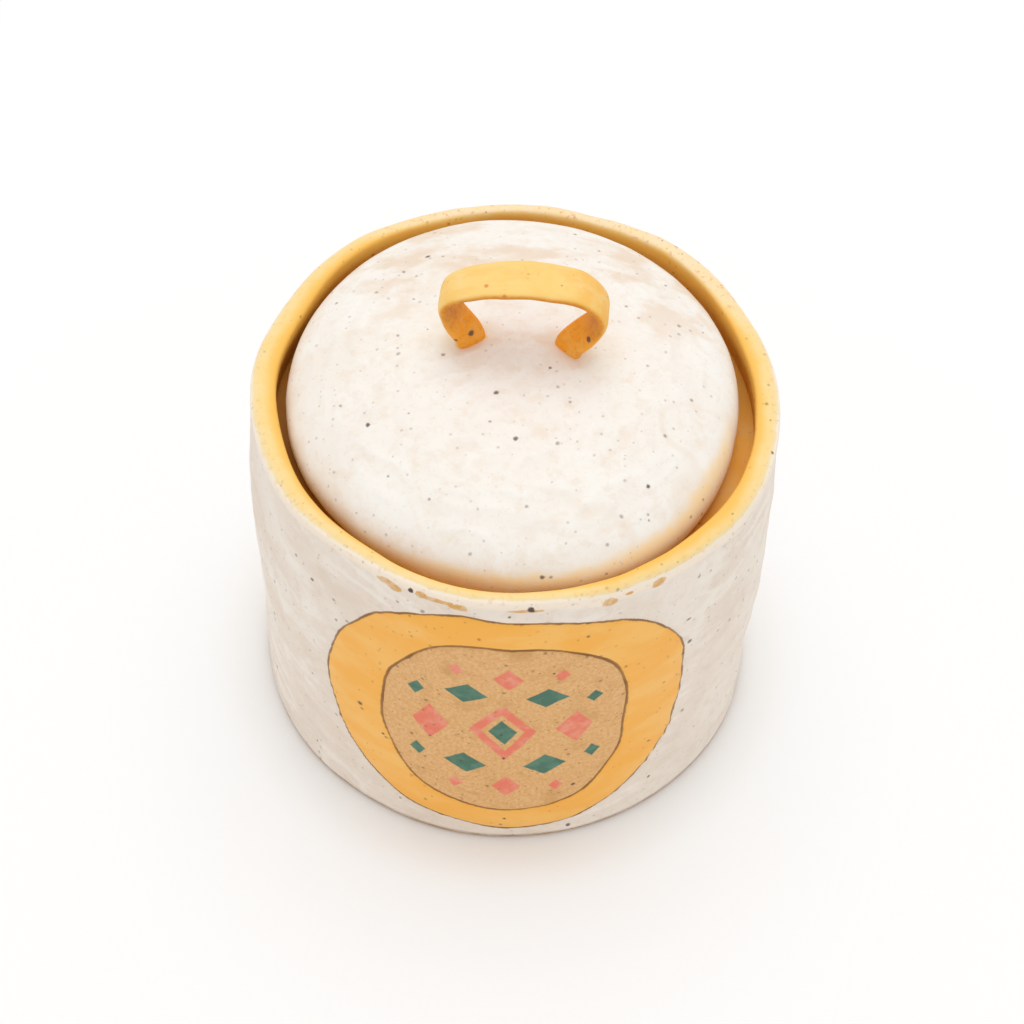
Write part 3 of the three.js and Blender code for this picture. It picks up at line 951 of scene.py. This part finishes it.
def worn_lip(look, colour, inner, sandy, patch):
    """Sand colour and dark freckles over the lip where it is sandy, and a little rust all round."""
    outer = look.step(abs(inner - 0.9), 2.3, 1.3)
    colour = look.mix(outer * sandy * (1.0 - 0.3 * patch), colour, LIP_SAND)
    rust = look.patches(0.55, 0.66, 1.1, 3, 0.65) * outer
    colour = look.mix(rust * (0.25 + 0.35 * sandy), colour, RUST)
    freckles = look.specks(look.place, 1.5, 0.75, 0.4, 0.8) * outer * sandy
    return look.mix(freckles * 0.55, colour, LINE_BROWN)


def shaded_side(look):
    """Painted shade in the gap between lid and wall: strong at the left, weaker at the right."""
    across, behind = look.across, look.behind
    left = look.step(across, -20, -36) * look.step(behind, 22, 6) * look.step(behind, -26, -12)
    right = look.step(across, 20, 36) * look.step(behind, -22, -8) * look.step(behind, 30, 16)
    return left * 0.85 + right * 0.25


def rim_smudges(look, round_front, height):
    """Ochre smears where the glaze broke just below the front of the lip, and two iron spots."""
    shaken = look.sway(1.5, 2.2, 2) + look.sway(2.2, 0.8, 3, 0.7)
    smears, spots = [], []
    for middle, level, half_length, half_height in SMUDGES:
        gap = ((round_front - middle) / half_length) ** 2 + ((height - level) / half_height) ** 2
        smears.append(look.step(gap + shaken, 1.25, 0.75))
    for middle, level, radius in RIM_SPOTS:
        gap = ((round_front - middle) ** 2 + (height - level) ** 2) ** 0.5
        spots.append(look.step(gap / radius + 0.5 * shaken, 1.2, 0.7))
    return strongest(*smears), strongest(*spots)


def wall_finish():
    look = Look("wall_glaze")
    height, round_front = look.attribute("height"), look.attribute("round")
    across, up = panel_point(round_front, height)
    strokes = look.slanted(0.3, (13, 13, 3.4))
    colour = cream_colour(look, strokes, (CREAM, CREAM_THICK_AND_HIGHLIGHT, CREAM_THIN_AND_SHADE))
    colour = lip_colour(look, colour)
    front = look.step(look.behind, -5, -15) * look.step(look.attribute("lip"), 1.2, 0.4)
    smears, spots = rim_smudges(look, round_front, height)
    worn = 0.55 + 0.45 * look.patches(0.35, 0.6, 1.6, 3, 0.6)
    colour = look.mix(smears * front * worn, colour, OCHRE)
    colour = look.mix(front, colour, panel_colour(look, across, up, colour))
    colour = look.mix(strongest(iron_specks(look, 1.0), spots * front), colour, IRON)
    foot = look.step(height + look.sway(0.9, 4, 2), BARE_FOOT + 0.3, BARE_FOOT - 0.3)
    colour = look.mix(foot, colour, BARE_CLAY)
    field = look.step(oval_gap(across, up, FIELD_HALF), 0.1, -0.1) * front
    rough = 0.42 + 0.12 * look.noise(6, 2) + 0.28 * field + 0.3 * foot
    return look.glaze(colour, rough, glaze_bump(look))


def panel_colour(look, across, up, around):
    """A yellow frame about a tan field, each with an uneven brown outline."""
    shaky = look.sway(0.45, 2.4, 3, 0.6)
    frame_gap = oval_gap(across, up, FRAME_HALF) + shaky
    field_gap = oval_gap(across, up, FIELD_HALF) + shaky
    brush = look.noise(8, 4, 0.6, (1.6, 1.6, 0.8))
    yellow = look.mix(look.step(brush, 0.38, 0.66), PANEL_YELLOW, PANEL_YELLOW_PALE)
    tan = panel_marks(look, across, up, panel_ground(look, brush))
    colour = look.mix(look.step(frame_gap, 0.12, -0.12), around, yellow)
    colour = look.mix(look.step(field_gap, 0.12, -0.12), colour, tan)
    uneven = look.noise(4.5, 2)
    for gap, half_width in ((frame_gap, 0.25), (field_gap, 0.32)):
        ink = look.step(abs(gap) / (half_width * (0.6 + 0.8 * uneven)), 1.25, 0.55)
        colour = look.mix(ink * (0.55 + 0.6 * uneven), colour, LINE_BROWN)
    return colour


def panel_ground(look, brush):
    """Bare tan clay with sandy grain."""
    tan = look.mix(look.patches(0.36, 0.66, 0.6, 3, 0.65), PANEL_TAN, PANEL_TAN_PALE)
    tan = look.mix(look.patches(0.50, 0.72, 6, 3, 0.6) * 0.55, tan, PANEL_TAN_DEEP)
    tan = look.mix(look.step(brush, 0.60, 0.75) * 0.3, tan, RUST)
    return look.mix(look.specks(look.place, 1.2, 0.62, 0.45) * 0.5, tan, LINE_BROWN)


def panel_marks(look, across, up, ground):
    """A lozenge pattern: coral along the middle and at the tips, green between."""
    ragged = look.sway(0.16, 1.5, 3, 0.6)
    wash = look.noise(2.6, 3, 0.6)
    coral = look.mix(look.step(wash, 0.42, 0.72) * 0.8, CORAL, CORAL_PALE)
    green = look.mix(look.step(wash, 0.38, 0.70), GREEN, GREEN_PALE)
    marks = (
        (coral, 0, 0, 6.4, 8.6),
        (ground, 0, 0, 4.1, 5.6),
        (green, 0, 0, 2.7, 3.7),
        (coral, 13.6, 0, 3.6, 5.2),
        (green, 7.4, 11.0, 4.0, 3.1),
        (coral, 0, 17.4, 2.8, 3.4),
        (green, 16.4, 9.4, 1.6, 2.0),
        (coral, 9.6, 18.2, 1.5, 1.8),
    )
    colour = ground
    for paint, away, high, half_width, half_height in marks:
        gap = abs(abs(across) - away) / half_width + abs(abs(up) - high) / half_height
        edge = 0.22 / half_width
        colour = look.mix(look.step(gap + ragged, 1 + edge, 1 - edge), colour, paint)
    return colour


def yellow_colour(look, base, pooled_and_shade, share, speckled=0.8):
    """Yellow glaze, deeper in this share, with rusty freckles and iron specks."""
    cloud = look.noise(8, 3, 0.55)
    colour = look.mix(look.step(cloud, 0.45, 0.75) * 0.3, base, YELLOW_THIN)
    colour = look.mix(look.step(cloud, 0.45, 0.25) * 0.3, colour, YELLOW_EDGE)
    colour = look.mix(share, colour, pooled_and_shade)
    colour = look.mix(look.patches(0.64, 0.74, 1.7, 3, 0.6) * 0.5, colour, RUST)
    return look.mix(iron_specks(look, speckled), colour, IRON)


def yellow_glaze(look, colour):
    rough = 0.42 + 0.12 * look.noise(6, 2)
    return look.glaze(colour, rough, glaze_bump(look, 0.04), 0.22)


def spotted(look, spots):
    """Soft spots at places measured from the lid's crown."""
    shaken = look.sway(0.5, 0.7, 2)
    soft = []
    for (x, y, above), radius in spots:
        ends = {0: look.place, 1: (x, y, LID_CROWN + above)}
        gap = look.node("VectorMath", {"operation": "DISTANCE"}, ends, "Value")
        soft.append(look.step(gap / radius + shaken, 1.3, 0.6))
    return strongest(*soft)


def handle_finish():
    look = Look("handle_glaze")
    above, looks_in = look.attribute("above_lid"), look.attribute("looks_in")
    # Deeper orange on the strap's sides and lower down is partly painted shade; the right end is
    # deeper too
    low = look.step(above, 15.2, 8.0)
    right = look.step(look.across, 6.0, 13.5)
    brushed = 0.55 * (look.patches(0.36, 0.64, 3, 4, 0.6, (2.5, 1, 1)) - 0.4)
    edge = look.attribute("edge") * 0.6 + low * 0.25 + right * 0.6 + brushed
    colour = yellow_colour(look, YELLOW, YELLOW_EDGE, edge, 0.3)
    clouded = look.patches(0.36, 0.66, 2.2, 4, 0.65)
    # Painted shade: deeper orange on the faces that look in under the arch, and brown higher under the
    # arch, mixed with dark grain
    colour = look.mix(looks_in * (0.70 + 0.30 * clouded), colour, HANDLE_INSIDE_SHADE)
    grain = look.patches(0.50, 0.68, 0.9, 3, 0.65)
    shade = look.step(above, 3.5, 8.5) * (0.6 + 0.3 * clouded) + 0.35 * grain
    colour = look.mix(looks_in * shade, colour, HANDLE_SHADED)
    colour = look.mix(spotted(look, HANDLE_RUST) * 0.9, colour, RUST_DOT)
    colour = look.mix(spotted(look, HANDLE_IRON) * 0.9, colour, IRON)
    return yellow_glaze(look, colour)


def seat_finish():
    look = Look("seat_glaze")
    share = 0.3 * look.patches(0.35, 0.7, 6, 2)
    colour = yellow_colour(look, YELLOW_INSIDE, YELLOW_POOLED_AND_SHADE, share)
    # Painted shade on the seat: in the narrow gap at the left, and at the right where the lid shades
    # it
    dark = look.step(look.across, -18, -34) * 0.85
    dark = dark + look.step(look.across, 20, 34) * look.step(look.behind, -4, 8) * 0.4
    colour = look.mix(dark, colour, SHADED_GROOVE)
    worn = look.step(abs(look.attribute("past_tip") - 1.6) + look.noise(1.5, 3), 1.3, 0.7)
    return yellow_glaze(look, look.mix(worn * 0.5, colour, RUST))


def floor_finish():
    look = Look("floor_glaze")
    share = 0.15 + 0.55 * look.patches(0.35, 0.7, 14, 2)
    colour = yellow_colour(look, YELLOW_INSIDE, YELLOW_POOLED_AND_SHADE, share)
    clay = look.mix(look.patches(0.36, 0.66, 0.9, 3, 0.65), PANEL_TAN_DEEP, PANEL_TAN)
    clay = look.mix(look.noise(12, 3) * 0.5, clay, BARE_CLAY)
    clay = look.mix(iron_specks(look, 1.0), clay, IRON)
    underneath = look.step(look.attribute("height"), 0.6, 0.2)
    colour = look.mix(underneath, colour, clay)
    rough = 0.40 + 0.1 * look.noise(6, 2) + 0.35 * underneath
    return look.glaze(colour, rough, glaze_bump(look))


def lid_finish():
    look = Look("lid_glaze")
    height = look.attribute("height")
    strokes = look.ringed(look.attribute("out"), 3.2, 3.4)
    colour = cream_colour(look, strokes, (LID_CREAM, LID_THICK_AND_HIGHLIGHT, LID_THIN_AND_SHADE))
    colour = lid_stains(look, colour)
    colour = look.mix(lid_band_and_shade(look, height), colour, LID_BAND_AND_SHADE)
    colour = foot_stains_and_shadow(look, colour)
    worn = look.step(height + look.sway(0.4, 2, 2), LID_BOTTOM + 0.9, LID_BOTTOM + 0.4)
    colour = look.mix(worn, colour, BARE_CLAY)
    colour = look.mix(iron_specks(look, 0.9), colour, IRON)
    rough = 0.40 + 0.14 * look.noise(6, 2) + 0.3 * worn
    return look.glaze(colour, rough, glaze_bump(look))


def lid_stains(look, colour):
    """Thin glaze: broad stains at the back, blotches all over and arcs at the front right."""
    back = look.step(look.behind, -6, 24)
    front_right = look.step(look.across, 2, 14) * look.step(look.behind, -2, -12)
    stained = look.patches(0.46, 0.64, 8, 4, 0.62, (1.8, 1, 1))
    blotched = look.patches(0.55, 0.70, 5, 4, 0.65)
    arcs = look.step(abs(look.noise(15, 0.5) - 0.47), 0.05, 0.0)
    for share in (back * stained * 0.9, blotched * 0.3, arcs * front_right * 0.3):
        colour = look.mix(share, colour, LID_THIN_AND_SHADE)
    return colour


def lid_band_and_shade(look, height):
    """How much tan shows along the lid's low front edge, partly a stain and partly painted shade and a
    painted reflection of the yellow lip: less towards the left and the very edge.
    """
    wobble = look.sway(2.2, 10, 3, 0.55) + look.sway(1.4, 3, 3, 0.6)
    above = height + wobble - 0.05 * look.across - LID_BOTTOM
    band = look.step(above, 8.6, 6.4) * (0.30 + 0.70 * look.step(above, 3.4, 6.0))
    band = band * (1.0 - 0.6 * look.step(look.across, -6, -24))
    front = look.step(look.behind - 0.35 * look.across, -16, -28)
    mottled = look.patches(0.36, 0.56, 3.5, 4, 0.65)
    return band * front * (0.62 + 0.36 * mottled)


def foot_stains_and_shadow(look, colour):
    """Darker tan round the handle's feet, a mottled patch between them that is partly stain and partly
    painted shadow of the arch, and yellow that ran just past them.
    """
    near = look.attribute("foot_gap") + look.sway(1.8, 1.8, 3)
    colour = look.mix(look.step(near, 3.0, 0.4) * 0.5, colour, LID_THIN_AND_SHADE)
    between = look.step(abs(look.across), 9.0, 6.0)
    between = between * look.step(abs(look.behind - 3.0), 2.4, 0.6)
    smudged = look.patches(0.38, 0.60, 2.4, 4, 0.65)
    colour = look.mix(between * smudged * 0.6, colour, LID_THIN_AND_SHADE)
    return look.mix(look.step(near, 0.3, -0.2) * 0.8, colour, YELLOW)


# Studio


def table_finish():
    """Pale table: as it is lit near the jar, with painted light from a white glow to the camera that
    starts just past the jar's foot and lightens the jar's shadow there, and plain white to the camera
    farther off.
    """
    look = Look("table")
    length = look.node("VectorMath", {"operation": "LENGTH"}, {0: look.place}, out="Value")
    seen = [look.node("LightPath", out=f"Is {kind} Ray") for kind in ("Camera", "Glossy")]
    near = look.node("BsdfDiffuse", None, {"Color": TABLE_COLOUR})
    far = look.node("Emission", None, {"Color": (1.0, 1.0, 1.0), "Strength": 1.0})
    share = 0.43 * look.step(length, 49, 62) + 0.57 * look.step(length, 58, 300)
    look.show(look.node("MixShader", None, {0: share * strongest(*seen), 1: near, 2: far}))
    return look.material


def add_table():
    corners = TABLE_HALF * np.array([(-1, -1, 0), (1, -1, 0), (1, 1, 0), (-1, 1, 0)])
    table = add_mesh("table", corners, [(0, 1, 2, 3)], table_finish())


def add_camera():
    """A long lens well above the jar, rolled a little."""
    back = Vector((0, -math.cos(CAMERA_TILT), math.sin(CAMERA_TILT)))
    right = Vector((1, 0, 0))
    up = back.cross(right)
    across = right * math.cos(CAMERA_ROLL) + up * math.sin(CAMERA_ROLL)
    above = up * math.cos(CAMERA_ROLL) - right * math.sin(CAMERA_ROLL)
    data = bpy.data.cameras.new("camera")
    data.sensor_width = SENSOR_WIDTH
    data.lens = LENS_PIXELS / PHOTO_PIXELS * SENSOR_WIDTH
    data.clip_start = 0.01
    data.clip_end = 20.0
    camera = add_object("camera", data)
    turn = Matrix((across, above, back)).transposed().to_4x4()
    camera.matrix_world = Matrix.Translation(Vector(CAMERA_TARGET) + back * CAMERA_DISTANCE) @ turn
    bpy.context.scene.camera = camera


def add_lamp():
    data = bpy.data.lights.new("overhead", "AREA")
    data.shape = "DISK"
    data.size = LAMP_SIZE
    data.energy = LAMP_POWER
    lamp = add_object("overhead", data)
    lamp.location = LAMP_PLACE
    lamp.rotation_mode = "QUATERNION"
    lamp.rotation_quaternion = Vector(LAMP_PLACE).to_track_quat("Z", "Y")


def add_world():
    """White to the camera, and softer as a light."""
    world = bpy.data.worlds.new("studio")
    bpy.context.scene.world = world
    world.use_nodes = True
    tree = world.node_tree
    tree.nodes.clear()
    kinds = ("LightPath", "Background", "Background", "MixShader", "OutputWorld")
    rays, light, seen, mix, output = (tree.nodes.new("ShaderNode" + kind) for kind in kinds)
    seen.inputs["Color"].default_value = (1, 1, 1, 1)
    light.inputs["Color"].default_value = (*WORLD_TINT, 1)
    light.inputs["Strength"].default_value = WORLD_LIGHT
    tree.links.new(rays.outputs["Is Camera Ray"], mix.inputs[0])
    tree.links.new(light.outputs[0], mix.inputs[1])
    tree.links.new(seen.outputs[0], mix.inputs[2])
    tree.links.new(mix.outputs[0], output.inputs["Surface"])


add_camera()
add_world()
add_table()
add_lamp()
add_wall()
add_floor()
add_seat()
add_lid()
add_strap()

bpy.context.scene.view_settings.view_transform = "Standard"
